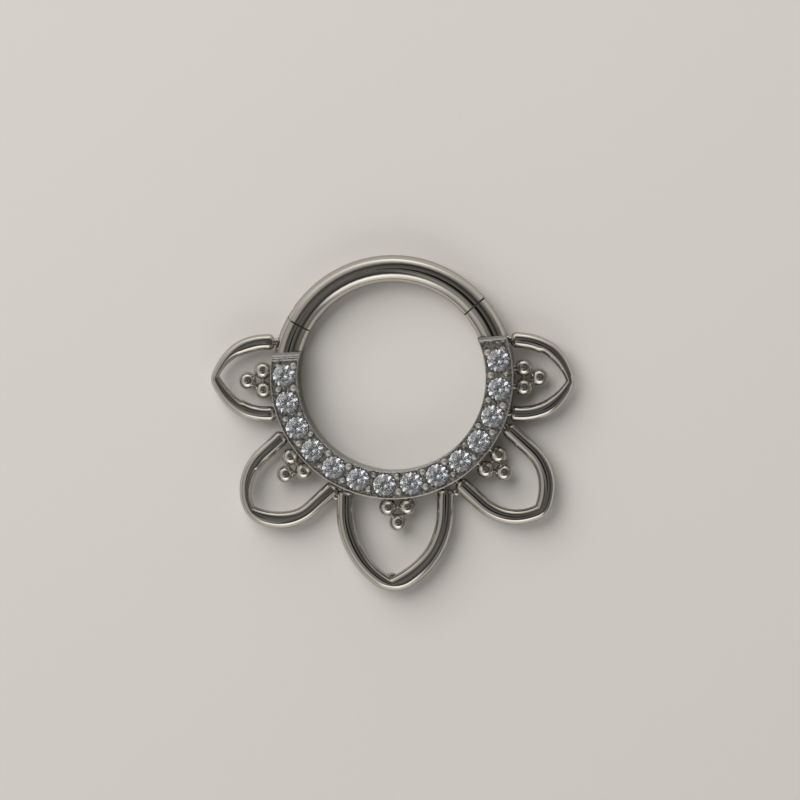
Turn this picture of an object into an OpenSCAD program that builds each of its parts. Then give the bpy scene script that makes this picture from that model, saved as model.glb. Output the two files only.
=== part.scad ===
// Hinged segment ring with a stone band, five wire petals and five clusters of beads.
// The ring lies on its back: its axis is +Z, the stones look up and the long petal points to -Y.
// The origin is the centre of the ring, on the plane that it lies on.
// Angles run from +X towards +Y. Lengths are in millimetres.

/* [Ring] */
// Inner diameter of the ring
inner_d = 8.3; // [8.2:0.05:8.5]
// Diameter of the plain ring wire
wire_d = 1.2; // [1.18:0.01:1.22]
// Height of the wire's centre line above the resting plane
wire_z = 0.65; // [0.64:0.01:0.68]
// Angle of the hinge seam
hinge_seam = 151.25; // [150:0.25:153]
// Angle of the catch seam
catch_seam = 40.75; // [39:0.25:42]
// Width of the open line at a seam
seam_gap = 0.07; // [0.03:0.01:0.08]

/* [Stone band] */
// Angle of the band's right end, on the wire's centre line
band_right = 22.25; // [21.5:0.25:23]
// Angle of the band's left end, on the wire's centre line
band_left = -193; // [-194.5:0.25:-192.5]
// Angle between an end of the band and the radius there
end_slant = 16.5; // [14:0.5:18]
// Bevel along the top of each end of the band
end_bevel = 0.1; // [0.06:0.01:0.12]
// Radial width of the band
band_w = 1.22; // [1.21:0.005:1.24]
// Height of the band, from its back to the top of its rails
band_h = 1.4; // [1.38:0.01:1.45]
// Rounding of the band's back edges
back_round = 0.16; // [0.1:0.01:0.2]
// Width of the raised rail along each edge of the stone face
rail_w = 0.06; // [0.05:0.005:0.065]
// Height of the rails above the face between the stones
rail_h = 0.06; // [0.04:0.01:0.08]
// Width of the raised lip across each end of the stone face
lip_w = 0.09; // [0.06:0.01:0.12]

/* [Stones] */
// Diameter of a stone
stone_d = 1.0; // [0.96:0.01:1]
// Angle of the first stone, near the right end
stone_first = 9.1; // [8.8:0.1:9.4]
// Angle between stones in the wider gaps at the right end
stone_wide_pitch = 15.05; // [15:0.05:15.2]
// Angle between the other stones
stone_pitch = 14.45; // [14.4:0.05:14.5]
// Turn of each stone's facets past those of the stone before it
stone_turn = 17; // [0:1:45]
// Free space around a stone in its seat
seat_gap = 0.015; // [0.01:0.005:0.02]
// Diameter of a prong bead
prong_d = 0.28; // [0.24:0.01:0.28]
// Radius of the inner row of prongs
prong_in_r = 4.36; // [4.36:0.01:4.39]
// Radius of the outer row of prongs
prong_out_r = 5.03; // [5:0.01:5.05]
// Angle from an end stone to the two prongs past it
prong_past = 6; // [5.6:0.1:6.4]

/* [Petals] */
// Diameter of the petal wire
petal_wire_d = 0.7; // [0.68:0.01:0.71]
// Diameter of the wire of the long petal
long_wire_d = 0.76; // [0.74:0.01:0.77]
// Radius of the circle on which the petal legs end
leg_end_r = 5.46; // [5.44:0.01:5.47]
// Rounding of the leg ends
leg_round = 0.16; // [0.12:0.01:0.16]
// Diameter of the weld under a leg end
leg_weld_d = 0.3; // [0.24:0.02:0.34]
// Diameter of the weld between two neighbouring petals
side_weld_d = 0.34; // [0.32:0.01:0.36]

/* [Beads] */
// Diameter of a bead
bead_d = 0.78; // [0.74:0.01:0.8]
// Radius of the circle of the two inner beads of a cluster
bead_in_r = 5.78; // [5.78:0.01:5.82]
// Radius of the circle of the outer bead of a cluster
bead_out_r = 6.45; // [6.44:0.01:6.5]
// Angle between the two inner beads
bead_spread = 8.6; // [8.4:0.1:9]
// Diameter of the welds between beads
bead_weld_d = 0.2; // [0.16:0.01:0.24]
// Diameter of the weld between a bead and the band
band_weld_d = 0.28; // [0.24:0.01:0.32]

/* [Hinge] */
// Distance of the pin outward from the wire's centre line
pin_out = 0.33; // [0.32:0.01:0.34]
// Distance of the pin past the hinge seam
pin_past = 0.27; // [0.26:0.01:0.28]
// Diameter of the hinge pin
pin_d = 0.2; // [0.18:0.01:0.22]
// Length of the hinge pin
pin_len = 0.7; // [0.64:0.01:0.7]
// Radius of the rounded end that turns about the pin
knuckle_r = 0.26; // [0.25:0.01:0.26]
// Radius of the hollow that the rounded end turns in
hollow_r = 0.3; // [0.29:0.01:0.3]
// Thickness of the hinge tongue
tongue_t = 0.36; // [0.34:0.01:0.38]
// Free space on each side of a tongue
tongue_gap = 0.02; // [0.02:0.005:0.03]
// Thickness of the catch tongue
catch_t = 0.3; // [0.28:0.01:0.34]
// Length of the catch tongue past its seam
catch_len = 0.45; // [0.4:0.01:0.5]

/* [Hidden] */
$fn = 72;
// Number of stones, and how many of the gaps between them are the wider ones
stone_count = 14;
stone_wide_gaps = 3;
stone_names = [for (i = [1 : stone_count]) str("stone_", i < 10 ? "0" : "", i)];

// Petals: axis angle, sideways shift, half width, start of the side arcs, side radius, tip radius,
// wire diameter
PETAL_ANGLE = 0;
PETAL_SHIFT = 1;
PETAL_HALF = 2;
PETAL_START = 3;
PETAL_SIDE_R = 4;
PETAL_TIP_R = 5;
PETAL_WIRE = 6;
petals = [
    [-5.1, 0.49, 1.62, 5.53, 2.64, 0.72, petal_wire_d],
    [-42.6, 0.16, 1.61, 6.63, 2.34, 0.64, petal_wire_d],
    [-91.2, 0.22, 2.22, 5.90, 3.66, 1.08, long_wire_d],
    [-137.1, 0.22, 1.59, 6.62, 2.20, 1.12, petal_wire_d],
    [-178.6, -0.04, 1.59, 5.60, 2.60, 0.55, petal_wire_d]
];
// Angles of the bead clusters
clusters = [-0.1, -40.6, -88, -137.6, -178.1];
// Welds between neighbouring petals: radius and angle
side_welds = [[5.81, -61.2], [5.9, -115.4]];

// Eased shoulder over the hinge: a cut whose corners are measured from the pin, along and outward
shoulder_cut = [[-0.5, 0.28], [0.15, 0.2], [0.7, 0.26], [0.7, 1.7], [-0.5, 1.7]];

wire_r = wire_d / 2;
ring_r = inner_d / 2 + wire_r;
band_in = ring_r - band_w / 2;
band_out = ring_r + band_w / 2;
face_z = band_h - rail_h;
// How far the band is drawn past its ends before they are cut
end_spare = 4;
// How far the cutting shapes reach, more than the wire is wide
reach = 2;
// Angle over which a wire stub runs into the band
stub_into = 3.5;

// Petal wire: difference in radius of joined stretches, their overlap, and the play of the V
hair = 0.005;
wire_overlap = 0.03;
vee_clear = 0.01;
// Reach of a leg's weld past the end of the leg
leg_weld_reach = 0.3;
// Share of a bead's diameter between its centre and the end of a weld inside it
bead_weld_start = 0.36;
// Depth of a bead's weld in the wall of the band
bead_weld_depth = 0.12;

// Height of a stone's girdle above the face
girdle_lift = 0.02;
// Proportions of the round brilliant
stone_r = stone_d / 2;
girdle_z = face_z + girdle_lift;
girdle_t = 0.03;
crown_h = 0.16 * stone_d;
pavilion_h = 0.43 * stone_d;
table_r = 0.57 * stone_r;
star_r = 0.76 * stone_r;
lower_r = 0.24 * stone_r;
// Flat at the bottom of a seat, and its depth below the stone's point
seat_flat_r = 0.06;
seat_below = 0.05;
// Height of a prong bead's centre above the face
prong_lift = 0.01;

pin_at = [pin_past, pin_out];
// Reach of the hinge tongue into the stub, and past the pin
tongue_root = 0.2;
tongue_past = 0.22;
// How far both tongues lie inside the surface of the wire
tongue_sink = 0.01;
// Reach of the catch tongue into the segment
catch_root = 0.15;

// Angle of an arc of a given length on the ring's centre line
function degrees(len) = len / ring_r * 180 / PI;
function polar(r, a) = [r * cos(a), r * sin(a), 0];
function stone_angle(i) =
    stone_first - stone_wide_pitch * min(i, stone_wide_gaps)
    - stone_pitch * max(i - stone_wide_gaps, 0);

// Sweeps a profile, drawn as radius and height, around the ring's axis between two angles
module around(from, to) {
    rotate([0, 0, from]) rotate_extrude(angle = to - from) children();
}

module wire_section(r) {
    translate([ring_r, wire_z]) circle(r);
}

// Places its children at the hinge seam: X runs along the wire into the segment, Y outward
module at_hinge() {
    rotate([0, 0, hinge_seam]) translate([ring_r, 0, 0]) rotate([0, 0, -90]) children();
}

// Places its children at the catch seam: X points outward, Y along the wire into the segment
module at_catch() {
    rotate([0, 0, catch_seam]) translate([ring_r, 0, 0]) children();
}

// Flat shape in the plan view, as tall as the whole ring
module tall() {
    translate([0, 0, -reach]) linear_extrude(height = band_h + 2 * reach) children();
}

// A slab of a given thickness about the height of the wire's centre
module slab(t, x0, x1, y0, y1) {
    translate([x0, y0, wire_z - t / 2]) cube([x1 - x0, y1 - y0, t]);
}

// The band: flat face with rails and end lips, rounded back edges
module band_section() {
    translate([band_in, back_round]) square([band_w, band_h - back_round]);
    translate([band_in + back_round, 0]) square([band_w - 2 * back_round, band_h]);
    translate([band_in + back_round, back_round]) circle(back_round);
    translate([band_out - back_round, back_round]) circle(back_round);
}

module seat() {
    seat_r = stone_r + seat_gap;
    shelf_z = girdle_z - girdle_t / 2 - seat_gap;
    point_z = shelf_z - pavilion_h;
    rotate_extrude()
        polygon([[0, point_z - seat_below], [seat_flat_r, point_z - seat_below],
                 [seat_r, shelf_z], [seat_r, band_h + reach], [0, band_h + reach]]);
}

// Places its children at an end of the band: X runs outward along the end, Y away from the band at
// the right end and into the band at the left end
module at_end(side) {
    rotate([0, 0, side > 0 ? band_right : band_left]) translate([ring_r, 0, 0])
        rotate([0, 0, -side * end_slant]) children();
}

// All that lies past an end of the band, or past a line that far inside it
module past_end(side, inset) {
    at_end(side) tall() translate([-reach, side > 0 ? -inset : inset - reach]) square([2 * reach, reach]);
}

// The wedge that bevels the top of an end
module end_wedge(side) {
    at_end(side) translate([-reach, -side * end_bevel, band_h]) rotate([-side * 45, 0, 0])
        translate([0, side > 0 ? 0 : -reach, 0]) cube([2 * reach, reach, reach]);
}

module band() {
    difference() {
        around(band_left - end_spare, band_right + end_spare) band_section();
        difference() {
            around(band_left - end_spare, band_right + end_spare)
                translate([band_in + rail_w, face_z]) square([band_w - 2 * rail_w, reach]);
            for (side = [-1, 1]) past_end(side, end_bevel + lip_w);
        }
        for (side = [-1, 1]) {
            past_end(side, 0);
            end_wedge(side);
        }
    }
}

// The band with its prongs, and a seat drilled for each stone
module set_band() {
    difference() {
        union() {
            band();
            prongs();
        }
        for (i = [0 : stone_count - 1])
            translate(polar(ring_r, stone_angle(i))) seat();
    }
}

// One domed prong bead on the stone face
module prong(r, a) {
    translate(polar(r, a)) translate([0, 0, face_z + prong_lift]) sphere(prong_d / 2);
}

module prongs() {
    for (i = [0 : stone_count - 2]) {
        mid_a = (stone_angle(i) + stone_angle(i + 1)) / 2;
        prong(prong_in_r, mid_a);
        prong(prong_out_r, mid_a);
    }
    for (a = [stone_angle(0) + prong_past, stone_angle(stone_count - 1) - prong_past]) {
        prong(prong_in_r, a);
        prong(prong_out_r, a);
    }
}

// A straight leg with a blunt rounded end, along +Z from just below the origin
module leg(len, r) {
    translate([0, 0, -wire_overlap]) rotate_extrude() {
        square([r - leg_round, len + wire_overlap]);
        square([r, len + wire_overlap - leg_round]);
        translate([r - leg_round, len + wire_overlap - leg_round]) circle(leg_round);
    }
}

// A curved stretch of petal wire about a centre in the plan view
module bend(centre, radius, from, to, r) {
    translate([centre[0], centre[1], wire_z]) rotate([0, 0, from])
        rotate_extrude(angle = to - from) translate([radius, 0]) circle(r);
}

// One petal: X is its axis, pointing outward. Each stretch of wire is a hair thinner than the
// one it runs into, so that they join in a clean ring.
module petal(p) {
    half = p[PETAL_HALF];
    start = p[PETAL_START];
    side_r = p[PETAL_SIDE_R];
    tip_r = p[PETAL_TIP_R];
    wire_r = p[PETAL_WIRE] / 2;
    side_c = half - side_r;
    tip_c = start + sqrt(pow(side_r - tip_r, 2) - side_c * side_c);
    turn = atan2(-side_c, tip_c - start);
    into = wire_overlap / side_r * 180 / PI;
    rotate([0, 0, p[PETAL_ANGLE]]) translate([0, p[PETAL_SHIFT], 0]) {
        difference() {
            bend([tip_c, 0], tip_r, -turn, turn, wire_r);
            intersection_for(side = [-1, 1])
                translate([start, side * side_c, 0])
                    cylinder(r = side_r - wire_r - vee_clear, h = band_h);
        }
        for (side = [-1, 1]) {
            across = p[PETAL_SHIFT] + side * half;
            leg_end = sqrt(leg_end_r * leg_end_r - across * across);
            bend([start, side * side_c], side_r, side > 0 ? turn - into : -90,
                 side > 0 ? 90 : into - turn, wire_r - hair);
            translate([start, side * half, wire_z]) rotate([0, -90, 0])
                leg(start - leg_end, wire_r - 2 * hair);
            translate([leg_end + leg_round, side * half, wire_z]) rotate([0, -90, 0])
                cylinder(d = leg_weld_d, h = leg_round + leg_weld_reach);
        }
    }
}

// A round weld in the notch between two petals
module side_weld(r, a) {
    rotate([0, 0, a]) translate([r, 0, wire_z]) rotate([90, 0, 0]) sphere(side_weld_d / 2);
}

// A rod between two points in the plan view, at the height of the wire's centre
module rod(a, b, d) {
    along = b - a;
    translate([a[0], a[1], wire_z]) rotate([0, 90, atan2(along[1], along[0])])
        cylinder(d = d, h = norm(along));
}

// A weld between two beads: a short rod that ends inside both
module bead_weld(a, b) {
    inside = (b - a) / norm(b - a) * bead_d * bead_weld_start;
    rod(a + inside, b - inside, bead_weld_d);
}

// Three beads: two beside the band and one outside them
module cluster(a) rotate([0, 0, a]) {
    inner = [polar(bead_in_r, -bead_spread / 2), polar(bead_in_r, bead_spread / 2)];
    outer = [bead_out_r, 0];
    for (c = [inner[0], inner[1], outer])
        translate([c[0], c[1], wire_z]) sphere(bead_d / 2);
    bead_weld(inner[0], inner[1]);
    bead_weld(inner[0], outer);
    bead_weld(inner[1], outer);
    for (c = inner)
        rod(c * (bead_in_r - bead_d * bead_weld_start) / bead_in_r,
            c * (band_out - bead_weld_depth) / bead_in_r, band_weld_d);
}

// The stub at the hinge: the wire with the hollow for the segment's rounded end, and the tongue
module hinge_stub() {
    difference() {
        around(hinge_seam - degrees(pin_past + hollow_r), band_left + 360 + stub_into)
            wire_section(wire_r);
        at_hinge() tall() {
            translate([-seam_gap / 2, -reach]) square([reach, reach + pin_out]);
            translate([pin_past - tongue_gap, -reach]) square([reach, 2 * reach]);
            translate(pin_at) circle(hollow_r);
        }
    }
    difference() {
        intersection() {
            around(hinge_seam - degrees(2 * hollow_r + pin_past), hinge_seam + degrees(2 * tongue_root))
                wire_section(wire_r - tongue_sink);
            at_hinge() slab(tongue_t, -tongue_root, reach, -reach, reach);
            at_hinge() tall() {
                translate([-reach, -reach]) square([reach + pin_past + tongue_past, reach + pin_out]);
                translate([-reach, -reach]) square([reach - seam_gap, 2 * reach]);
                translate(pin_at) circle(knuckle_r);
            }
        }
        at_hinge() translate([pin_past, pin_out, 0]) cylinder(d = pin_d + tongue_gap, h = reach);
    }
}

// The stub at the catch: the wire with a slot for the catch tongue, open across the wire
module catch_stub() {
    difference() {
        around(band_right - stub_into, catch_seam - degrees(seam_gap / 2)) wire_section(wire_r);
        at_catch() slab(catch_t + 2 * tongue_gap, -reach, reach, -catch_len - 2 * tongue_gap, reach);
    }
}

module frame() {
    color("silver") {
        set_band();
        hinge_stub();
        catch_stub();
        for (p = petals) petal(p);
        for (a = clusters) cluster(a);
        for (w = side_welds) side_weld(w[0], w[1]);
    }
}

// The swinging segment: a plain arc with a forked, rounded hinge end and a flat catch tongue
module segment() {
    color("silver") {
        difference() {
            around(catch_seam + degrees(seam_gap / 2), hinge_seam + degrees(2 * knuckle_r))
                wire_section(wire_r);
            at_hinge() tall() {
                translate([-reach, -reach]) square([reach + seam_gap / 2, reach + pin_out]);
                difference() {
                    translate([-reach, pin_out]) square([reach + pin_past, reach]);
                    translate(pin_at) circle(knuckle_r);
                }
                translate(pin_at) polygon(shoulder_cut);
            }
            at_hinge() slab(tongue_t + 2 * tongue_gap, -reach, pin_past + tongue_past + 3 * tongue_gap,
                            -reach, reach);
            at_hinge() translate([pin_past, pin_out, wire_z])
                cylinder(d = pin_d + 2 * tongue_gap, h = pin_len + 2 * tongue_gap, center = true);
        }
        intersection() {
            around(catch_seam - degrees(2 * catch_len), catch_seam + degrees(2 * catch_root))
                wire_section(wire_r - tongue_sink);
            at_catch() slab(catch_t, -reach, reach, -catch_len, catch_root);
        }
    }
}

module hinge_pin() {
    color("dimgray") at_hinge() translate([pin_past, pin_out, wire_z])
        cylinder(d = pin_d, h = pin_len, center = true);
}

// Round brilliant: table, stars, kites and halves above the girdle, mains and halves below it
module brilliant() {
    table_z = girdle_t / 2 + crown_h;
    kite_share = (star_r * cos(22.5) - table_r) / (stone_r - table_r);
    star_z = table_z - crown_h * kite_share;
    culet_z = -girdle_t / 2 - pavilion_h;
    lower_z = culet_z + pavilion_h * lower_r * cos(22.5) / stone_r;
    // Rings of points, from the top down
    points = concat(
        [for (k = [0 : 7]) [table_r * cos(45 * k), table_r * sin(45 * k), table_z]],
        [for (k = [0 : 7]) [star_r * cos(45 * k + 22.5), star_r * sin(45 * k + 22.5), star_z]],
        [for (k = [0 : 15]) [stone_r * cos(22.5 * k), stone_r * sin(22.5 * k), girdle_t / 2]],
        [for (k = [0 : 15]) [stone_r * cos(22.5 * k), stone_r * sin(22.5 * k), -girdle_t / 2]],
        [for (k = [0 : 7]) [lower_r * cos(45 * k + 22.5), lower_r * sin(45 * k + 22.5), lower_z]],
        [[0, 0, culet_z]]
    );
    table = 0;
    star = 8;
    upper = 16;
    under = 32;
    lower = 48;
    culet = 56;
    faces = concat(
        [[for (k = [7 : -1 : 0]) table + k]],
        [for (k = [0 : 7]) [table + k, table + (k + 1) % 8, star + k]],
        [for (k = [0 : 7]) [table + k, star + k, upper + 2 * k, star + (k + 7) % 8]],
        [for (k = [0 : 7]) [star + k, upper + 2 * k + 1, upper + 2 * k]],
        [for (k = [0 : 7]) [star + k, upper + (2 * k + 2) % 16, upper + 2 * k + 1]],
        [for (k = [0 : 15]) [upper + k, upper + (k + 1) % 16, under + (k + 1) % 16, under + k]],
        [for (k = [0 : 7]) [lower + k, under + 2 * k, under + 2 * k + 1]],
        [for (k = [0 : 7]) [lower + k, under + 2 * k + 1, under + (2 * k + 2) % 16]],
        [for (k = [0 : 7]) [culet, lower + (k + 7) % 8, under + 2 * k, lower + k]]
    );
    polyhedron(points = points, faces = faces);
}

module stone(i) {
    a = stone_angle(i);
    color("lavender") translate(polar(ring_r, a)) translate([0, 0, girdle_z])
        rotate([0, 0, a + stone_turn * i]) brilliant();
}

frame();
segment();
hinge_pin();
for (i = [0 : stone_count - 1])
    stone(i);
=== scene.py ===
# %% [markdown]
# A hinged segment ring, dressed for a close-up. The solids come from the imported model, in metres,
# with the ring lying on its back and its axis along +Z. Work at this scale is drawn in millimetres
# and brought to metres at the end, because a 0.7 mm wire is easier to think of as 0.7 than as 0.0007.

# %% Load the ring and keep its box
import math

import bmesh
import bpy
from mathutils import Matrix, Vector


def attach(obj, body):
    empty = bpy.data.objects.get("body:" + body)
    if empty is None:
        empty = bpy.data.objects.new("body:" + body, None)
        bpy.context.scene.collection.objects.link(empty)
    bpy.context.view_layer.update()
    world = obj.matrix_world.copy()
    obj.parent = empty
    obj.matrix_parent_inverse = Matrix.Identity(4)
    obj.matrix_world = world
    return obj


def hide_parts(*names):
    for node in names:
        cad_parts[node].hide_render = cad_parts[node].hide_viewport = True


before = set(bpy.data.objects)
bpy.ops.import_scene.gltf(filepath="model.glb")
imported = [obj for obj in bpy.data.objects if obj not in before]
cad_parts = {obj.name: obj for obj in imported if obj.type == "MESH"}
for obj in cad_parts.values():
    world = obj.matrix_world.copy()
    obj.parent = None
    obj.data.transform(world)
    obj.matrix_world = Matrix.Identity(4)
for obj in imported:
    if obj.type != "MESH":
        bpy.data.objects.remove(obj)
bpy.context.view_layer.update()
MM = 0.001

# %% [markdown]
# The camera looks almost straight down on the lying ring, tipped a few degrees to the right and
# towards the plain segment. A long lens from 170 mm away keeps the round ring round, as a macro
# lens does. Its right axis is built from the ring's +Y, so that the petals hang down in the image.

# %% Camera
SIGHT_TILT = 6.0
SIGHT_SIDE = Vector((0.83, 0.55, 0)).normalized()
CAMERA_AWAY = 170.0
PICTURE_SIDE = 800
PIXELS_PER_MM = 22.7
FRAME_ACROSS = PICTURE_SIDE / PIXELS_PER_MM
AIM = Vector((0.31, -1.035, 0.65))

tilt = math.radians(SIGHT_TILT)
sight = SIGHT_SIDE * math.sin(tilt) + Vector((0, 0, math.cos(tilt)))
right = Vector((0, 1, 0)).cross(sight).normalized()
up = sight.cross(right)
camera = bpy.data.objects.new("camera", bpy.data.cameras.new("camera"))
camera.data.lens = camera.data.sensor_width * CAMERA_AWAY / FRAME_ACROSS
camera.data.clip_start = 0.01
turned = Matrix((right, up, sight)).transposed().to_4x4()
camera.matrix_world = Matrix.Translation((AIM + sight * CAMERA_AWAY) * MM) @ turned
bpy.context.scene.collection.objects.link(camera)
bpy.context.scene.camera = camera
print("lens in mm:", round(camera.data.lens, 1))

# %% [markdown]
# Light and finishes are both trees of nodes. They could be drawn by hand in the editor, or joined
# socket by socket here, which is long. A few helpers keep the cells below short enough to read.

# %% Helpers for node trees
NODE_STEP = 200


def add_node(tree, kind, at=(0, 0), inputs=None, **settings):
    """Adds a node, sets its fields, then joins or fills its inputs, by name or number."""
    node = tree.nodes.new(kind)
    node.location = (at[0] * NODE_STEP, at[1] * NODE_STEP)
    for name, value in settings.items():
        setattr(node, name, value)
    for name, value in (inputs or {}).items():
        if isinstance(value, bpy.types.NodeSocket):
            tree.links.new(value, node.inputs[name])
        else:
            node.inputs[name].default_value = value
    return node


def vector_maths(tree, operation, inputs, at=(0, 0)):
    """Vector maths: a dot product of directions puts out a number from -1 to 1, the others a vector."""
    node = add_node(tree, "ShaderNodeVectorMath", at, inputs, operation=operation)
    return node.outputs["Value" if operation == "DOT_PRODUCT" else "Vector"]


def as_share(tree, value, low, high, at=(0, 0)):
    """A value as a share: 0 at low, 1 at high, and held there beyond them."""
    inputs = {"Value": value, "From Min": low, "From Max": high}
    return add_node(tree, "ShaderNodeMapRange", at, inputs).outputs["Result"]


def ramp(tree, value, stops, at=(0, 0)):
    """An eased grey ramp from pairs of a place and a brightness."""
    node = add_node(tree, "ShaderNodeValToRGB", at, {"Fac": value})
    node.color_ramp.interpolation = "EASE"
    elements = node.color_ramp.elements
    elements.remove(elements[1])
    for i, (place, bright) in enumerate(stops):
        stop = elements[0] if i == 0 else elements.new(place)
        stop.position = place
        stop.color = (bright, bright, bright, 1)
    return node.outputs["Color"]


def mix_colours(tree, factor, a, b, blend="MIX", at=(0, 0)):
    """A colour mix; the Mix node keeps its colour sockets at numbers 6 and 7 and its result at 2."""
    node = add_node(tree, "ShaderNodeMix", at, data_type="RGBA", blend_type=blend)
    for socket, value in ((0, factor), (6, a), (7, b)):
        if isinstance(value, bpy.types.NodeSocket):
            tree.links.new(value, node.inputs[socket])
        else:
            node.inputs[socket].default_value = value if socket == 0 else (*value, 1)
    return node.outputs[2]


# %% [markdown]
# A polished wire shows no colour of its own: it shows the room. So the studio is drawn first. It is a
# tent with four walls of warm white cloth and the dark lens above. Each wall has its own brightness
# from the lens down to the floor: the back wall is the brightest, the front wall has a bright band,
# the left wall is grey and the right wall is nearly dark. Lamps and real sheets could do it, but in
# a painted world each wall is set by its own numbers, and it stays still when the camera moves.

# %% Walls of the tent, from the floor up to the lens
# Each wall as pairs of a share and a brightness. The share is 0 straight under the ring, 0.5 level
# with the floor and 1 at the lens.
WALLS = {
    "right": [
        (0.0, 0.1), (0.5, 0.07), (0.63, 0.09), (0.71, 0.085),
        (0.79, 0.062), (0.86, 0.045), (0.885, 0.02),
    ],
    "left": [
        (0.0, 0.1), (0.5, 0.15), (0.54, 0.19), (0.63, 0.26),
        (0.71, 0.28), (0.79, 0.28), (0.85, 0.25), (0.89, 0.1),
    ],
    "back": [
        (0.0, 0.1), (0.5, 1.0), (0.56, 1.0), (0.63, 0.8),
        (0.71, 0.48), (0.79, 0.21), (0.85, 0.055), (0.88, 0.02),
    ],
    "front": [
        (0.0, 0.1), (0.5, 0.5), (0.63, 0.5), (0.67, 0.7), (0.71, 1.0),
        (0.79, 0.95), (0.825, 0.35), (0.865, 0.05), (0.885, 0.02),
    ],
}
# The top of every wall: the dim cloth around the lens, and the lens itself, which is nearly black
LENS = [(0.905, 0.02), (0.925, 0.055), (0.975, 0.075), (0.988, 0.11), (0.993, 0.01), (1.0, 0.005)]

studio = bpy.data.worlds.new("studio")
bpy.context.scene.world = studio
studio.use_nodes = True
tent = studio.node_tree
tent.nodes.clear()
heading = add_node(tent, "ShaderNodeTexCoord").outputs["Generated"]
to_lens = vector_maths(tent, "DOT_PRODUCT", {0: heading, 1: sight}, (1, 1))
lens_share = as_share(tent, to_lens, -1.0, 1.0, (2, 1))
walls = {}
for i, (name, stops) in enumerate(WALLS.items()):
    walls[name] = ramp(tent, lens_share, stops + LENS, (3, 4 - i))
print("walls:", ", ".join(walls))

# %% Walls by direction around the ring
# Half the width over which the left wall blends into the right one, and the front into the back
WALL_BLEND = 0.15
# How much of a side wall shows by direction, from left to right, in the back and the front half
BACK_SIDE = [(0.0, 1.0), (0.146, 0.55), (0.5, 0.0), (0.854, 0.78), (1.0, 1.0)]
FRONT_SIDE = [(0.0, 1.0), (0.17, 0.8), (0.31, 0.25), (0.5, 0.0), (0.69, 0.2), (0.83, 0.9), (1.0, 1.0)]

along_sight = vector_maths(tent, "SCALE", {0: sight, "Scale": to_lens}, (1, -1))
off_sight = vector_maths(tent, "SUBTRACT", {0: heading, 1: along_sight}, (2, -1))
flat = vector_maths(tent, "NORMALIZE", {0: off_sight}, (3, -1))
across = vector_maths(tent, "DOT_PRODUCT", {0: flat, 1: right}, (4, -1))
upward = vector_maths(tent, "DOT_PRODUCT", {0: flat, 1: up}, (4, -2))
rightness = as_share(tent, across, -WALL_BLEND, WALL_BLEND, (5, -1))
upness = as_share(tent, upward, -WALL_BLEND, WALL_BLEND, (5, -2))
across_share = as_share(tent, across, -1.0, 1.0, (5, -3))
back_side = ramp(tent, across_share, BACK_SIDE, (6, -3))
front_side = ramp(tent, across_share, FRONT_SIDE, (6, -4))
sideness = mix_colours(tent, upness, front_side, back_side, at=(7, -3))
side_walls = mix_colours(tent, rightness, walls["left"], walls["right"], at=(6, 2))
end_walls = mix_colours(tent, upness, walls["front"], walls["back"], at=(6, 1))
cloth = mix_colours(tent, sideness, end_walls, side_walls, at=(7, 1))
print("nodes of the four walls:", len(tent.nodes))

# %% White card and the light of the tent
# A small white card hangs beside the lens, to the lower left: degrees away from it, the cosines
# where its soft edge begins and ends, and its brightness
CARD_OFF = 31.0
CARD_EDGE = (0.972, 0.992)
CARD_BRIGHT = (0.19, 0.19, 0.19)
TENT_WHITE = (1.0, 0.965, 0.91)
TENT_POWER = 1.7

card_off = math.radians(CARD_OFF)
card_way = sight * math.cos(card_off) - (right + up).normalized() * math.sin(card_off)
to_card = vector_maths(tent, "DOT_PRODUCT", {0: heading, 1: card_way}, (1, -4))
card_glow = as_share(tent, to_card, *CARD_EDGE, (2, -4))
shaded = mix_colours(tent, card_glow, cloth, CARD_BRIGHT, "LIGHTEN", (8, 0))
tinted = mix_colours(tent, 1.0, shaded, TENT_WHITE, "MULTIPLY", (9, 0))
glow = add_node(tent, "ShaderNodeBackground", (10, 0), {"Color": tinted, "Strength": TENT_POWER})
add_node(tent, "ShaderNodeOutputWorld", (11, 0), {"Surface": glow.outputs["Background"]})
bpy.context.scene.view_settings.view_transform = "Standard"
print("studio nodes:", len(tent.nodes))

# %% [markdown]
# One soft lamp from the upper left gives the floor its shadow. It could be a sun, but a square lamp
# that is as wide as it is far away has the soft shadow edge of a small softbox. Its own mirror image
# would lie as a hard white patch on every wire, so it is kept out of glossy rays. The floor is pale
# matt card, one square that reaches past the picture on every side.

# %% Lamp and floor
LAMP_SIDE = 340
LAMP_POWER = 1.0
LAMP_WHITE = (1.0, 0.97, 0.93)
LAMP_PLACE = Vector((-150, 190, 240))
FLOOR_SIDE = 600.0
FLOOR_COLOUR = (0.8, 0.785, 0.765, 1)
FLOOR_ROUGHNESS = 0.9

lamp = bpy.data.objects.new("softbox", bpy.data.lights.new("softbox", "AREA"))
lamp.data.size = LAMP_SIDE * MM
lamp.data.energy = LAMP_POWER
lamp.data.color = LAMP_WHITE
lamp.visible_glossy = False
lamp_place = LAMP_PLACE * MM
lamp_turn = lamp_place.to_track_quat("Z", "Y").to_matrix().to_4x4()
lamp.matrix_world = Matrix.Translation(lamp_place) @ lamp_turn
bpy.context.scene.collection.objects.link(lamp)

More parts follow.
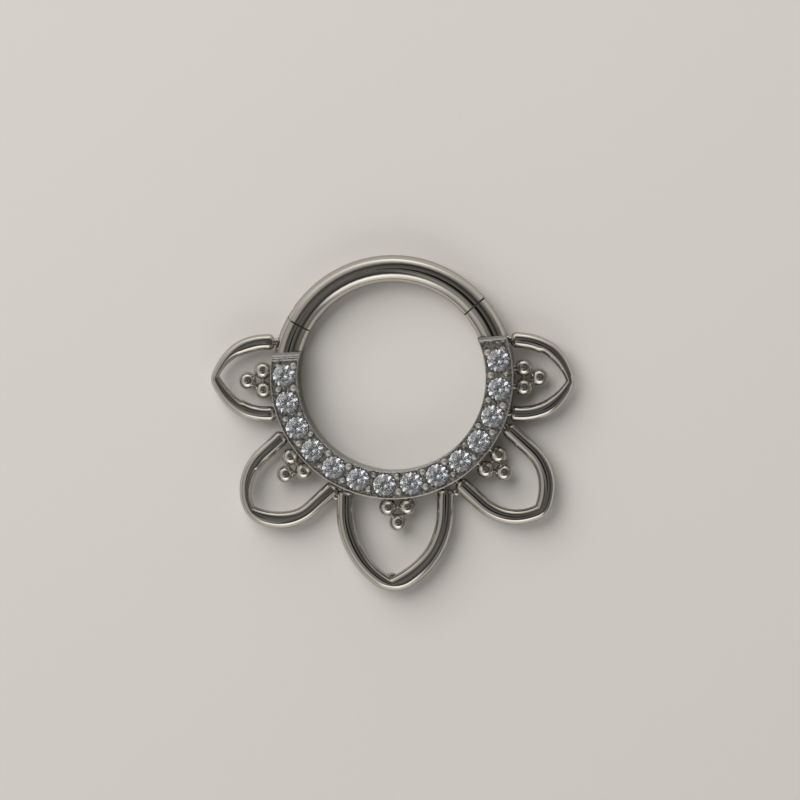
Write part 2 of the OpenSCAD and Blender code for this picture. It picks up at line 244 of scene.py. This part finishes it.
floor_mesh = bmesh.new()
bmesh.ops.create_grid(floor_mesh, x_segments=1, y_segments=1, size=FLOOR_SIDE / 2 * MM)
floor = bpy.data.objects.new("floor", bpy.data.meshes.new("floor"))
floor_mesh.to_mesh(floor.data)
floor_mesh.free()
bpy.context.scene.collection.objects.link(floor)
card = bpy.data.materials.new("pale_card")
card.use_nodes = True
card.node_tree.nodes["Principled BSDF"].inputs["Base Color"].default_value = FLOOR_COLOUR
card.node_tree.nodes["Principled BSDF"].inputs["Roughness"].default_value = FLOOR_ROUGHNESS
floor.data.materials.append(card)
print("lamp away in mm:", round(LAMP_PLACE.length), "and its side:", LAMP_SIDE)

# %% [markdown]
# The metal is polished titanium. Polishing leaves hair-fine marks that only show where a reflection
# smears a little. They could be an image, but noise on the piece's own coordinates has no seams. It
# goes into the roughness and into a very shallow bump. Only the cast face between the stones, which
# the polish has not reached everywhere, also gets duller patches of colour. Several metals use the
# marks, so they are one node group with its own sockets.

# %% Polishing marks
# How many marks and how many soft waves there are to a metre, and how detailed each noise is
FINE_SCALE = 6000.0
FINE_DETAIL = 4.0
BROAD_SCALE = 900.0
BROAD_DETAIL = 2.0
# The value of the fine noise up to which the metal is dull, and from which it is clean
PATCH_EDGE = (0.36, 0.64)


def noise(tree, place, scale, detail, at):
    """Noise between 0 and 1."""
    inputs = {"Vector": place, "Scale": scale, "Detail": detail}
    return add_node(tree, "ShaderNodeTexNoise", at, inputs).outputs["Fac"]


def multiply_add(tree, a, b, c, at):
    """The number a times b plus c."""
    return add_node(tree, "ShaderNodeMath", at, {0: a, 1: b, 2: c}, operation="MULTIPLY_ADD").outputs[0]


def marks_group():
    """Fine polishing marks: a roughness, a height and patches, from a point on the piece in metres."""
    group = bpy.data.node_groups.new("polishing_marks", "ShaderNodeTree")
    usual_values = (("Scale", FINE_SCALE), ("Roughness", 0.08), ("Spread", 0.05), ("Waves", 4.0))
    for name, usual in usual_values:
        socket = group.interface.new_socket(name, in_out="INPUT", socket_type="NodeSocketFloat")
        socket.default_value = usual
    for name in ("Roughness", "Height", "Patches"):
        group.interface.new_socket(name, in_out="OUTPUT", socket_type="NodeSocketFloat")
    given = group.nodes.new("NodeGroupInput").outputs
    place = add_node(group, "ShaderNodeTexCoord", (-1, -1)).outputs["Object"]
    fine = noise(group, place, given["Scale"], FINE_DETAIL, (1, 1))
    broad = noise(group, place, BROAD_SCALE, BROAD_DETAIL, (1, -1))
    both = add_node(group, "ShaderNodeMath", (2, 0), {0: fine, 1: broad}, operation="MULTIPLY").outputs[0]
    worn = multiply_add(group, both, given["Spread"], given["Roughness"], (3, 0))
    height = multiply_add(group, broad, given["Waves"], fine, (3, -1))
    patches = as_share(group, fine, *PATCH_EDGE, (3, 1))
    add_node(group, "NodeGroupOutput", (4, 0), {"Roughness": worn, "Height": height, "Patches": patches})
    return group


polishing_marks = marks_group()
print("nodes of the marks:", len(polishing_marks.nodes))

# %% Metals
EDGE_TINT = (0.6, 0.6, 0.6, 1)


def metal(name, colour, roughness, spread, bump, waves, dull=None):
    """A metal finish: spread is how far the marks raise its roughness, bump the depth of its marks in
    metres, waves how much deeper its soft waves are, and dull the colour of its dull patches."""
    finish = bpy.data.materials.new(name)
    finish.use_nodes = True
    tree = finish.node_tree
    shader = tree.nodes["Principled BSDF"].inputs
    shader["Metallic"].default_value = 1.0
    shader["Base Color"].default_value = (*colour, 1)
    shader["Specular Tint"].default_value = EDGE_TINT
    marks = add_node(tree, "ShaderNodeGroup", (-3, 0), node_tree=polishing_marks)
    marks.inputs["Roughness"].default_value = roughness
    marks.inputs["Spread"].default_value = spread
    marks.inputs["Waves"].default_value = waves
    tree.links.new(marks.outputs["Roughness"], shader["Roughness"])
    if dull:
        patched = mix_colours(tree, marks.outputs["Patches"], dull, colour, at=(-1, 1))
        tree.links.new(patched, shader["Base Color"])
    depth = {"Strength": 1.0, "Distance": bump, "Height": marks.outputs["Height"]}
    relief = add_node(tree, "ShaderNodeBump", (-1, -1), depth)
    tree.links.new(relief.outputs["Normal"], shader["Normal"])
    return finish


# Each metal's name, colour, roughness, spread, bump, waves and, for one of them, dull colour
wire_metal = metal("polished_wire", (0.60, 0.58, 0.54), 0.04, 0.06, 3e-7, 14.0)
bead_metal = metal("polished_bead", (0.73, 0.71, 0.66), 0.03, 0.04, 2e-7, 4.0)
prong_metal = metal("prong_metal", (0.93, 0.91, 0.86), 0.56, 0.1, 2e-7, 4.0)
rail_metal = metal("rail_metal", (0.87, 0.85, 0.82), 0.22, 0.1, 4e-7, 6.0)
wall_metal = metal("wall_metal", (0.60, 0.58, 0.54), 0.14, 0.12, 1e-6, 8.0)
# The end bevels' metal is darkened: its dark colour is painted shade for the shade they lie in
end_metal_painted_shade = metal("end_metal_painted_shade", (0.26, 0.255, 0.24), 0.4, 0.2, 4e-6, 3.0)
band_metal = metal("band_metal", (0.8, 0.79, 0.75), 0.2, 0.3, 8e-5, 1.0, (0.3, 0.295, 0.28))
pin_metal = metal("pin_metal", (0.5, 0.49, 0.48), 0.2, 0.1, 1e-6, 1.0)
print("finishes so far:", len(bpy.data.materials))

# %% [markdown]
# Every new piece ends in the same way. It is brought to metres, and its faces are shaded smooth.
# Edges that turn by more than a set angle stay sharp: without them a flat end would be shaded as if
# it were round. This could be a modifier on each piece, but set once in the mesh it goes wherever
# the mesh goes. Then the piece is hung on the body it rides on, and the solid it stands for is hidden.

# %% Finishing a piece
SHARP_TURN = 38
SHARP_TURN_OF_THIN_WIRE = 80


def finish_piece(shape, name, finishes, body="frame", solid="frame", sharp=SHARP_TURN):
    """Makes a shape drawn in millimetres a piece in metres that rides on a body and stands for a
    solid; edges that turn by more than sharp degrees stay sharp."""
    bmesh.ops.scale(shape, vec=(MM, MM, MM), verts=shape.verts)
    bmesh.ops.recalc_face_normals(shape, faces=shape.faces)
    for face in shape.faces:
        face.smooth = True
    for edge in shape.edges:
        if edge.is_manifold:
            edge.smooth = edge.calc_face_angle() < math.radians(sharp)
    mesh = bpy.data.meshes.new(name)
    shape.to_mesh(mesh)
    shape.free()
    # A copy of a solid brings its old normals along, and they would undo the smooth shading
    if "custom_normal" in mesh.attributes:
        mesh.attributes.remove(mesh.attributes["custom_normal"])
    for finish in finishes:
        mesh.materials.append(finish)
    piece = bpy.data.objects.new(name, mesh)
    bpy.context.scene.collection.objects.link(piece)
    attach(piece, body)
    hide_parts(solid)
    print(name, "faces:", len(mesh.polygons))


# %% [markdown]
# The stone band and the plain wire come from the solids themselves: they carry the seats, the rails
# and the hinge, which must fit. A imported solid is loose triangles, so a copy is merged first, and
# only then can its curved faces be shaded smooth. What lies outside the band is cut from the copy,
# because the petals and beads are drawn afresh below.

# %% Sizes of the band and its merged copies
BAND_IN = 4.14
BAND_OUT = 5.36
BAND_H = 1.4
RING_R = 4.75
WIRE_R = 0.6
WIRE_Z = 0.65
# Angles of the ends of the band, and how far past them its slanted ends can reach
BAND_RIGHT = 22.25
BAND_LEFT = -193
STUB_CLEAR = 4
# How near points have to lie to be merged, and how far past the band's wall the cut is made
MERGE = 0.002
CUT_PAST = 0.006


def merged_copy(node):
    """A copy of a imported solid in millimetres, with its loose triangles joined."""
    shape = bmesh.new()
    shape.from_mesh(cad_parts[node].data)
    bmesh.ops.scale(shape, vec=(1 / MM, 1 / MM, 1 / MM), verts=shape.verts)
    bmesh.ops.remove_doubles(shape, verts=shape.verts, dist=MERGE)
    return shape


band = merged_copy("frame")
outside = [v for v in band.verts if v.co.xy.length > BAND_OUT + CUT_PAST]
bmesh.ops.delete(band, geom=outside, context="VERTS")
open_edges = [e for e in band.edges if e.is_boundary]
bmesh.ops.holes_fill(band, edges=open_edges, sides=0)
print("open edges where the welds were:", len(open_edges), "left:", sum(e.is_boundary for e in band.edges))

# %% [markdown]
# One polish doesn't fit the whole copy. The stubs are bright as the wire, the cast face between the
# stones is rough, the walls are smoother, and the bevel at each end is dull and darkened: its dark
# colour is painted shade. The faces of each could be chosen by hand in edit mode, but a rule by
# place finds them again whenever the solids change.

# %% Finishes of the band, the stubs and the segment
# How far a corner may lie off the wire or off a flat or round wall and still count as on it
WIRE_SLACK = 0.012
WALL_SLACK = 0.01
# The end bevels: how upright their normals are, and how far below the face they reach
BEVEL_NORMAL = (0.5, 0.9)
BEVEL_REACH = 0.11


def on_wire(face):
    """True for a face on the round surface of the ring wire, false for one that a cut has left."""
    depths = [WIRE_R - math.hypot(v.co.xy.length - RING_R, v.co.z - WIRE_Z) for v in face.verts]
    return all(abs(depth) < WIRE_SLACK for depth in depths)


def on_walls(face):
    """True for a face whose corners all lie on the inner or the outer round wall of the band."""
    gaps = [abs(v.co.xy.length - r) for v in face.verts for r in (BAND_IN, BAND_OUT)]
    return sum(gap < WALL_SLACK for gap in gaps) == len(face.verts)


def in_stubs(face):
    """True past the ends of the band, where the two plain stubs are."""
    centre = face.calc_center_median()
    angle = math.degrees(math.atan2(centre.y, centre.x))
    return BAND_RIGHT + STUB_CLEAR < angle < BAND_LEFT + 360 - STUB_CLEAR


def on_end_bevel(face):
    """True for a face of the bevel along the top of the band's two ends."""
    lowest, highest = BEVEL_NORMAL
    return lowest < face.normal.z < highest and min(v.co.z for v in face.verts) > BAND_H - BEVEL_REACH


for face in band.faces:
    if on_wire(face):
        face.material_index = 1
    elif on_end_bevel(face):
        # The end bevels take the darkened metal, whose colour is painted shade
        face.material_index = 2
    elif on_walls(face) or in_stubs(face) or max(v.co.z for v in face.verts) < WALL_SLACK:
        face.material_index = 3
counts = [sum(f.material_index == i for f in band.faces) for i in (1, 2, 3)]
print("faces of stubs, end bevels and walls:", counts)
finish_piece(band, "band", [band_metal, wire_metal, end_metal_painted_shade, wall_metal])
segment = merged_copy("segment")
for face in segment.faces:
    face.material_index = 0 if on_wire(face) else 1
finish_piece(segment, "plain_segment", [wire_metal, wall_metal], "segment", "segment")

# %% [markdown]
# A petal is one wire: two legs, two side arcs and a tip. It could be a curve with a round bevel, but
# the tip has a sharp V inside and a round back outside, which a curve can't have. Here half a petal
# is spun: a ring of points turns about the centre of the side arc and then about the centre of the
# tip. The tip's inner points are then drawn back to the mitre where two wires would meet, and the
# half is mirrored.

# %% Wire of a petal
# Name, axis angle, sideways shift, half width, start of the arcs, side radius, tip radius and wire
PETALS = [
    ("petal_right", -5.1, 0.49, 1.62, 5.53, 2.64, 0.72, 0.7),
    ("petal_lower_right", -42.6, 0.16, 1.61, 6.63, 2.34, 0.64, 0.7),
    ("petal_bottom", -91.2, 0.22, 2.22, 5.90, 3.66, 1.08, 0.76),
    ("petal_lower_left", -137.1, 0.22, 1.59, 6.62, 2.20, 1.12, 0.7),
    ("petal_left", -178.6, -0.04, 1.59, 5.60, 2.60, 0.55, 0.7),
]
WIRE_SIDES = 40
ARC_STEPS = 30
TIP_STEPS = 14
# In wire radii: how far inside the wire's middle line the mitre is full, and how wide it fades out
MITRE_FULL = 0.7
MITRE_FADE = 1.3
# Stands a flat circle up, so that it faces along X
FACES_X = Matrix(((0, 0, 1), (0, 1, 0), (-1, 0, 0))).to_4x4()


def turn_ring(shape, ring, centre, angle, steps):
    """Spins an open ring of points and edges about an upright axis and returns the last ring."""
    spun = bmesh.ops.spin(
        shape, geom=ring, cent=centre, axis=(0, 0, 1), angle=angle, steps=steps, use_duplicate=False)
    return spun["geom_last"]


def eased(share):
    """A share held between 0 and 1 with soft ends."""
    share = min(max(share, 0), 1)
    return share * share * (3 - 2 * share)


def petal_wire(half, start, side_r, tip_r, wire):
    """The side arcs and the tip of a petal about +X, open at the two legs."""
    r = wire / 2
    side_c = half - side_r
    tip_c = start + math.sqrt((side_r - tip_r) ** 2 - side_c ** 2)
    turn = math.atan2(-side_c, tip_c - start)
    shape = bmesh.new()
    leg_place = Matrix.Translation((start, half, WIRE_Z)) @ FACES_X
    circle = bmesh.ops.create_circle(shape, cap_ends=False, segments=WIRE_SIDES, radius=r, matrix=leg_place)
    ring = [*circle["verts"], *shape.edges]
    ring = turn_ring(shape, ring, (start, side_c, WIRE_Z), turn - math.pi / 2, ARC_STEPS)
    before = set(shape.verts)
    turn_ring(shape, ring, (tip_c, 0, WIRE_Z), -turn, TIP_STEPS)
    for v in set(shape.verts) - before:
        across_tip = Vector((v.co.x - tip_c, v.co.y))
        out = across_tip.length - tip_r
        along = 1 - math.atan2(across_tip.y, across_tip.x) / turn
        mitre_r = side_r + out
        mitre_a = turn + (math.asin(-side_c / mitre_r) - turn) * along
        mitre = Vector((start + mitre_r * math.cos(mitre_a), side_c + mitre_r * math.sin(mitre_a), v.co.z))
        v.co = mitre.lerp(v.co, eased((out / r + MITRE_FULL) / MITRE_FADE))
    half_petal = [*shape.verts, *shape.edges, *shape.faces]
    bmesh.ops.mirror(shape, geom=half_petal, merge_dist=MERGE, axis="Y")
    return shape


print("widest petal, in mm:", 2 * max(half for _, _, _, half, *_ in PETALS))

# %% [markdown]
# No two tips came out alike under the file. Each petal could be sculpted, but small rules are easier
# to change and give the same shape each time: the inner corner is drawn off its true place, the wire
# is thinned at its nose, and a notch or two is filed into the inside of an arm.

# %% Hand-made tips
# What the hand did at each tip: how far the inner corner lies off its true place, outward and
# sideways; how much the wire is thinned at its nose and where on the arc that begins, in degrees;
# and the notches of the file inside (place, side, depth)
TIPS = {
    "petal_right": ((0.02, 0.05), (0.26, 64), [(6.37, 1, 0.07)]),
    "petal_lower_right": ((-0.05, -0.05), (0.05, 60), []),
    "petal_bottom": ((0.0, -0.11), (0.0, 60), []),
    "petal_lower_left": ((0.07, -0.2), (0.04, 60), [(7.22, -1, 0.06)]),
    "petal_left": ((0.09, -0.14), (0.21, 72), [(6.68, 1, 0.06), (6.76, -1, 0.03)]),
}
CORNER_REACH = 1.4
# Degrees on the arc from which the thinning is full, and its share that also flattens the wire
NOSE_ANGLE = 24
TIP_FLATTEN = 0.6
# Nearer to the petal's axis than this, the thinning swings round to run straight back
NOSE_ACROSS = 0.5
# In wire radii: where work on the inner side ends, over what width it fades, and the same width
# for the thinning, which begins at the inmost line
INNER_END = 0.3
INNER_FADE = 1.3
THIN_FADE = 1.7
NOTCH_STEEP = 0.12
NOTCH_FADE = 0.7


def work_tip(shape, half, start, side_r, wire, corner, thinned, notches):
    """Draws a petal's inner corner to its hand-made place, thins the wire at the nose, files notches."""
    r = wire / 2
    side_c = half - side_r
    corner_x = start + math.sqrt((side_r - r) ** 2 - side_c ** 2)
    amount, begins = thinned
    for v in shape.verts:
        side = 1 if v.co.y > 0 else -1
        spoke = Vector((v.co.x - start, v.co.y - side * side_c, 0))
        off = (spoke.length - side_r) / r
        angle = math.degrees(math.atan2(abs(spoke.y), spoke.x))
        inside = eased((INNER_END - off) / INNER_FADE)
        near_corner = eased(1 - (corner_x - v.co.x) / CORNER_REACH)
        near_nose = eased((begins - angle) / (begins - NOSE_ANGLE))
        bite = sum(depth * eased((v.co.x - x) / NOTCH_STEEP + 0.5) * (1 - eased((v.co.x - x) / NOTCH_FADE))
                   for x, notch_side, depth in notches if notch_side == side)
        v.co += Vector((*corner, 0)) * near_corner * inside + spoke.normalized() * bite * inside
        swing = min(1, abs(v.co.y) / NOSE_ACROSS)
        inward = -Vector((spoke.x, spoke.y * swing, 0)).normalized()
        v.co += inward * amount * near_nose * min(max((off + 1) / THIN_FADE, 0), 1)
        v.co.z = WIRE_Z + (v.co.z - WIRE_Z) * (1 - TIP_FLATTEN * amount / wire * near_nose)


print("most a tip is thinned, in mm:", max(thinned[0] for _, thinned, _ in TIPS.values()))

# %% [markdown]
# Each leg of a petal stops just short of the band with a rounded end, and a small waisted neck of
# solder joins the two. A metaball would flow them together, but it would also swell the wire. An
# outline spun about the leg's own line gives a neck with exactly the waist that is wanted.

# %% Legs and their necks
LEG_END_R = 5.46
LEG_ROUND = 0.24
# The rounding takes at most this share of a leg's straight length
LEG_SHARE = 0.9
LEG_ROUND_STEPS = 8
NECK_STEPS = 20


def leg_end_x(shift, across):
    """Where a leg of a petal ends along the petal's axis, that far to the side of it."""
    return math.sqrt(LEG_END_R ** 2 - (shift + across) ** 2)


def add_leg(shape, side, shift, half, start):
    """Runs one open end of a petal's wire straight back to the band and rounds it off."""
    ring = [e for e in shape.edges if e.is_boundary and e.verts[0].co.y * side > 0]
    leg_end = leg_end_x(shift, side * half)
    grown = bmesh.ops.extrude_edge_only(shape, edges=ring)["geom"]
    ring = [g for g in grown if isinstance(g, bmesh.types.BMEdge) and g.is_boundary]
    for v in {v for e in ring for v in e.verts}:
        v.co.x = leg_end
    cap = bmesh.ops.edgeloop_fill(shape, edges=ring)["faces"]
    bmesh.ops.bevel(
        shape, geom=list(cap[0].edges), offset=min(LEG_ROUND, LEG_SHARE * (start - leg_end)),
        offset_type="OFFSET", segments=LEG_ROUND_STEPS, profile=0.5, affect="EDGES",
        clamp_overlap=False, material=-1)


def leg_neck(gap):
    """The outline of a leg's neck as pairs of a place and a radius: it starts inside the band, is
    waisted over the gap and ends inside the leg."""
    return [
        (-0.12, 0.0), (-0.12, 0.19), (0, 0.18), (gap * 0.3, 0.145),
        (gap * 0.7, 0.145), (gap, 0.17), (gap + 0.06, 0.17), (gap + 0.06, 0.0),
    ]


def spool(shape, outline, a, b):
    """A small round form: an outline of pairs (place, radius) spun about the line from a to b."""
    a, b = Vector(a), Vector(b)
    line = (b - a).normalized()
    aside = Vector((0, 0, 1))
    points = [shape.verts.new(a + line * place + aside * radius) for place, radius in outline]
    edges = [shape.edges.new(pair) for pair in zip(points, points[1:])]
    bmesh.ops.spin(
        shape, geom=[*points, *edges], cent=a, axis=line, angle=math.tau, steps=NECK_STEPS, use_merge=True)


def placed(shape, angle, shift=0.0):
    """Moves a shape sideways and turns it about the ring's axis."""
    turn = Matrix.Rotation(math.radians(angle), 3, "Z")
    bmesh.ops.translate(shape, vec=(0, shift, 0), verts=shape.verts)
    bmesh.ops.rotate(shape, cent=(0, 0, 0), matrix=turn, verts=shape.verts)


for name, angle, shift, half, start, side_r, tip_r, wire in PETALS:
    petal = petal_wire(half, start, side_r, tip_r, wire)
    work_tip(petal, half, start, side_r, wire, *TIPS[name])
    for side in (-1, 1):
        add_leg(petal, side, shift, half, start)
    for side in (-1, 1):
        leg_end = leg_end_x(shift, side * half)
        wall = math.sqrt(BAND_OUT ** 2 - (shift + side * half) ** 2)
        spool(petal, leg_neck(leg_end - wall), (wall, side * half, WIRE_Z), (leg_end, side * half, WIRE_Z))
    placed(petal, angle, shift)
    finish_piece(petal, name, [wire_metal])

# %% [markdown]
# Each cluster is three small balls, soldered where they nearly touch. A UV sphere would do, but an
# icosphere has even faces and no pole that would pinch the reflection of the lens. The solder
# between the balls is spun like the necks of the petals.

# %% Bead clusters
BEAD_R = 0.39
BEAD_IN_R = 5.78
BEAD_OUT_R = 6.45
BEAD_SPREAD = 8.6
# How deep the solder starts inside a bead and inside the band
SOLDER_SUNK = 0.05
# The outline of the solder between a bead and the band, as pairs of a place and a radius
BEAD_WELD = [(0, 0.0), (0, 0.17), (0.06, 0.16), (0.1, 0.14), (0.16, 0.17), (0.16, 0.0)]
CLUSTERS = {
    "beads_right": -0.1,
    "beads_lower_right": -40.6,
    "beads_bottom": -88.0,
    "beads_lower_left": -137.6,
    "beads_left": -178.1,
}


def on_ring(r, degrees):
    """A point at wire height, at a radius and an angle."""
    return Vector((r * math.cos(math.radians(degrees)), r * math.sin(math.radians(degrees)), WIRE_Z))


def bead_neck(span):
    """The outline of the solder between two beads that far apart: waisted halfway between them."""
    near, far = BEAD_R - SOLDER_SUNK, span - BEAD_R + SOLDER_SUNK
    return [
        (near, 0.0), (near, 0.12), (BEAD_R, 0.085), (span / 2, 0.07),
        (span - BEAD_R, 0.085), (far, 0.12), (far, 0.0),
    ]


for name, angle in CLUSTERS.items():
    beads = bmesh.new()
    inner = [on_ring(BEAD_IN_R, side * BEAD_SPREAD / 2) for side in (-1, 1)]
    outer = on_ring(BEAD_OUT_R, 0)
    for centre in (*inner, outer):
        bmesh.ops.create_icosphere(beads, subdivisions=4, radius=BEAD_R, matrix=Matrix.Translation(centre))
    for a, b in ((inner[0], inner[1]), (inner[0], outer), (inner[1], outer)):
        spool(beads, bead_neck((b - a).length), a, b)
    for centre in inner:
        home = centre.copy()
        home.z = 0
        wall = home.normalized() * (BAND_OUT - SOLDER_SUNK) + Vector((0, 0, WIRE_Z))
        spool(beads, BEAD_WELD, wall, centre)
    placed(beads, angle)
    finish_piece(beads, name, [bead_metal])

# %% [markdown]
# The goldsmith leaves a thin raised rail along both sides of the band and across its ends. The
# solids have it with sharp corners. Under a lens it is one bright line, so it is drawn again,
# round and a little proud of the face. Bevelling the copy could round it, but the bevel would have
# to find its way past every seat. The two lines scribed across the left end are drawn with it.

# %% Rails and lips
END_SLANT = 16.5
END_BEVEL = 0.1
RAIL_R = 0.034
RAIL_RINGS = (4.17, 5.33)
RAIL_Z = BAND_H - 0.022
RAIL_SIDES = 12
RAIL_STEPS = 180
# Where the corner of a lip's round end lies, out and along, as a share of the rail's radius
ROUND_SHARE = 0.7
# How far inside its end each lip or scribed line lies: the left end has two more than the right
LIP_LINES = [(1, 0.0), (-1, 0.0), (-1, 0.085), (-1, 0.19)]
# Stands a flat circle up, so that it faces along Y
FACES_Y = Matrix(((1, 0, 0), (0, 0, 1), (0, 1, 0))).to_4x4()


def end_point(side, r, inset):
    """A point on the band's right (1) or left (-1) end, that far inside it, at a radius."""
    middle = math.radians(BAND_RIGHT if side > 0 else BAND_LEFT)
    slanted = middle - side * math.radians(END_SLANT)
    along = Vector((math.cos(slanted), math.sin(slanted)))
    inward = Vector((-along.y, along.x))
    start = RING_R * Vector((math.cos(middle), math.sin(middle))) - side * inset * inward
    reach = -start.dot(along) + math.sqrt(start.dot(along) ** 2 - start.length_squared + r * r)
    return (start + reach * along).to_3d()


rails = bmesh.new()
for r in RAIL_RINGS:
    first, last = (end_point(side, r, END_BEVEL + RAIL_R) for side in (1, -1))
    first_a = math.atan2(first.y, first.x)
    swing = (math.atan2(last.y, last.x) - math.tau) - first_a
    rail_place = Matrix.Rotation(first_a, 4, "Z") @ Matrix.Translation((r, 0, RAIL_Z)) @ FACES_Y
    earlier_edges = set(rails.edges)
    circle = bmesh.ops.create_circle(
        rails, cap_ends=False, segments=RAIL_SIDES, radius=RAIL_R, matrix=rail_place)
    ring = [*circle["verts"], *(e for e in rails.edges if e not in earlier_edges)]
    turn_ring(rails, ring, (0, 0, 0), swing, RAIL_STEPS)
for side, further in LIP_LINES:
    lip_in, lip_out = (end_point(side, r, END_BEVEL + RAIL_R + further) for r in RAIL_RINGS)
    a, b = (point + Vector((0, 0, RAIL_Z)) for point in (lip_in, lip_out))
    length = (b - a).length
    soft = RAIL_R * ROUND_SHARE
    outline = [
        (-RAIL_R, 0.0), (-soft, soft), (0, RAIL_R),
        (length, RAIL_R), (length + soft, soft), (length + RAIL_R, 0.0),
    ]
    spool(rails, outline, a, b)
finish_piece(rails, "rails", [rail_metal], sharp=SHARP_TURN_OF_THIN_WIRE)

# %% [markdown]
# The goldsmith raises two balls of metal in each gap between stones to hold them. Each is a bright
# dot under a lens. An array around the ring would make them all alike, and the hand doesn't. So each
# ball is drawn in its own place, with a size and a lean that differ a little from the others'.

# %% Prongs
# The first stone's angle, the wide steps between the first four stones and the other steps
FIRST_STONE = 9.1
WIDE_STEP = 15.05
WIDE_STEPS = 3
STONE_STEP = 14.45
STONES = 14
PRONG_RINGS = (4.36, 5.03)
PRONG_PAST = 6
PRONG_Z = BAND_H - 0.04
PRONG_R = 0.16
# Share by which a prong may be smaller than that, and how many degrees its lean ranges over
PRONG_VARIES = 0.2
PRONG_LEANS = 0.9
# Steps of this part of a turn never fall into a pattern, so the prongs look set by hand
GOLDEN_PART = 0.618

stone_angles = [
    FIRST_STONE - WIDE_STEP * min(i, WIDE_STEPS) - STONE_STEP * max(i - WIDE_STEPS, 0)
    for i in range(STONES)
]
middles = [(a + b) / 2 for a, b in zip(stone_angles, stone_angles[1:])]
gap_angles = [stone_angles[0] + PRONG_PAST, *middles, stone_angles[-1] - PRONG_PAST]
prong_places = [(r, angle) for angle in gap_angles for r in PRONG_RINGS]
prongs = bmesh.new()
for i, (r, angle) in enumerate(prong_places):
    radius = PRONG_R * (1 - PRONG_VARIES * (i * GOLDEN_PART % 1))
    angle = math.radians(angle + PRONG_LEANS * (i * GOLDEN_PART * 2 % 1 - 0.5))
    centre = Vector((r * math.cos(angle), r * math.sin(angle), PRONG_Z))
    bmesh.ops.create_icosphere(prongs, subdivisions=3, radius=radius, matrix=Matrix.Translation(centre))
print("prongs:", len(prong_places))
finish_piece(prongs, "prongs", [prong_metal])

# %% [markdown]
# In the two notches beside the long petal a small drop of solder joins the neighbouring wires. A
# third has run across the long petal's own inner corner, so it is broad and low. A drop could be
# blended into the wires, but a ball that is half sunk in them shows the same bright dot.

# %% Solder drops
# Each drop as its radius on the ring, its angle, its own radius, and how broad and how high it is
DROPS = [(5.81, -61.2, 0.17, 1.0, 1.0), (5.9, -115.4, 0.17, 1.0, 1.0), (8.82, -90.3, 0.14, 1.5, 0.8)]
drops = bmesh.new()
for r, angle, radius, broad, high in DROPS:
    place = Matrix.Translation(on_ring(r, angle)) @ Matrix.Rotation(math.radians(angle), 4, "Z")
    flattened = place @ Matrix.Diagonal((1, broad, high, 1))
    bmesh.ops.create_icosphere(drops, subdivisions=3, radius=radius, matrix=flattened)
finish_piece(drops, "solder_drops", [wire_metal])

# %% [markdown]
# The stones are clear round brilliants. Their flat facets are already in the solids, and flat
# shading is right for them. A bright metal would sparkle too, but glass with a high index bends the
# light and throws it back through the facets, as a cut stone does. A little roughness softens the
# sparkle. The pin hides in the knuckle, so a plain finish does for it.

# %% Stones and pin
STONE_COLOUR = (0.73, 0.77, 0.83, 1)
STONE_ROUGHNESS = 0.19
STONE_INDEX = 2.05

clear_stone = bpy.data.materials.new("clear_stone")
clear_stone.use_nodes = True
glassy = clear_stone.node_tree.nodes["Principled BSDF"]
glassy.inputs["Base Color"].default_value = STONE_COLOUR
glassy.inputs["Roughness"].default_value = STONE_ROUGHNESS
glassy.inputs["IOR"].default_value = STONE_INDEX
glassy.inputs["Transmission Weight"].default_value = 1.0
stones = [solid for node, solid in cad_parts.items() if node.startswith("stone_")]
for stone in stones:
    stone.data.materials.clear()
    stone.data.materials.append(clear_stone)
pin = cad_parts["hinge_pin"]
pin.data.materials.clear()
pin.data.materials.append(pin_metal)
print("stones:", len(stones))
